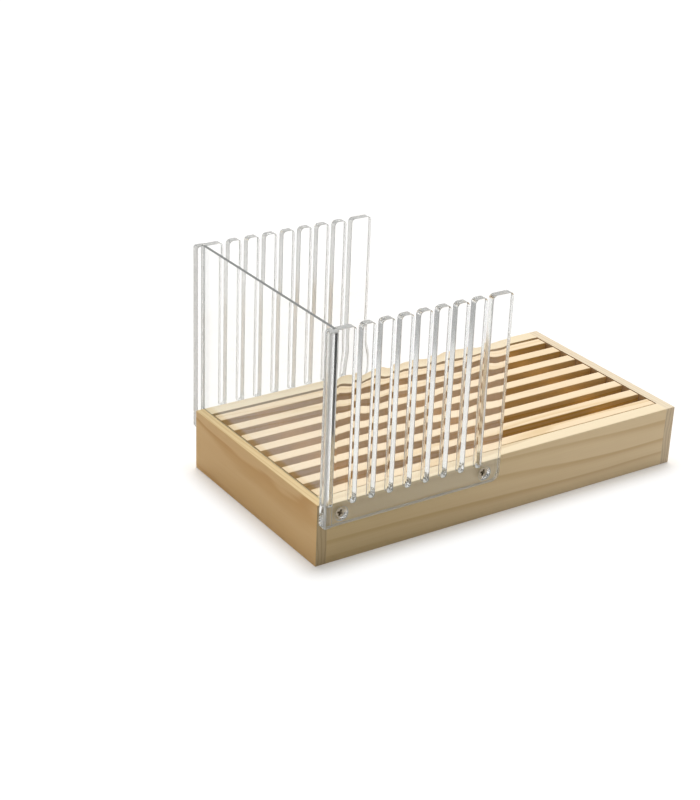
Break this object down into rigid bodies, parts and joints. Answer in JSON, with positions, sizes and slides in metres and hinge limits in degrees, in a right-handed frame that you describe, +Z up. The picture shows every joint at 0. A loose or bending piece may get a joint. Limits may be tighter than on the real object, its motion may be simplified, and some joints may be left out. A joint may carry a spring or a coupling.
{
  "type": "bread slicer guide",
  "caption": "Pine tray with a lift-out slatted rack over a crumb space, clear acrylic comb guides on its long sides for the knife, and a clear end plate that stops the loaf.",
  "frame": {"origin": "middle of the tray's underside, on the table", "axes": "+X along the tray away from the end plate, +Y across the tray to the back, +Z up"},
  "size_m": [0.34, 0.194, 0.185],
  "materials": {
    "rail_pine": "planed pine, satin clear coat, grain along the rail",
    "board_pine": "planed pine, satin clear coat, grain along the board, end grain at its two ends",
    "ledge_pine": "sawn pine, unfinished",
    "panel_plywood": "thin plywood, sanded",
    "dowel_beech": "turned beech, unfinished",
    "slat_pine": "planed pine, satin clear coat, grain along the slat",
    "batten_pine": "planed pine, unfinished",
    "brad_steel": "bright wire",
    "guide_acrylic": "clear acrylic with polished edges",
    "plate_acrylic": "clear acrylic sheet with polished edges",
    "screw_steel": "bright nickel-plated steel"
  },
  "bodies": {
    "base": {"front_rail": "rail_pine", "back_rail": "rail_pine", "left_end_board": "board_pine", "right_end_board": "board_pine", "bottom_panel": "panel_plywood", "corner_dowels": "dowel_beech", "front_ledge": "ledge_pine", "back_ledge": "ledge_pine", "front_guide": "guide_acrylic", "back_guide": "guide_acrylic", "front_guide_screws": "screw_steel", "back_guide_screws": "screw_steel"},
    "slat_rack": {"slat_1": "slat_pine", "slat_2": "slat_pine", "slat_3": "slat_pine", "slat_4": "slat_pine", "slat_5": "slat_pine", "slat_6": "slat_pine", "slat_7": "slat_pine", "slat_8": "slat_pine", "rack_batten_1": "batten_pine", "rack_batten_2": "batten_pine", "rack_batten_3": "batten_pine", "rack_brads": "brad_steel"},
    "end_plate": {"end_plate": "plate_acrylic"}
  },
  "joints": [
    {"name": "rack_lift", "type": "slide", "parent": "base", "child": "slat_rack", "axis": [0, 0, 1], "range_m": [0, 0.16]},
    {"name": "plate_lift", "type": "slide", "parent": "base", "child": "end_plate", "axis": [0, 0, 1], "range_m": [0, 0.14]}
  ]
}
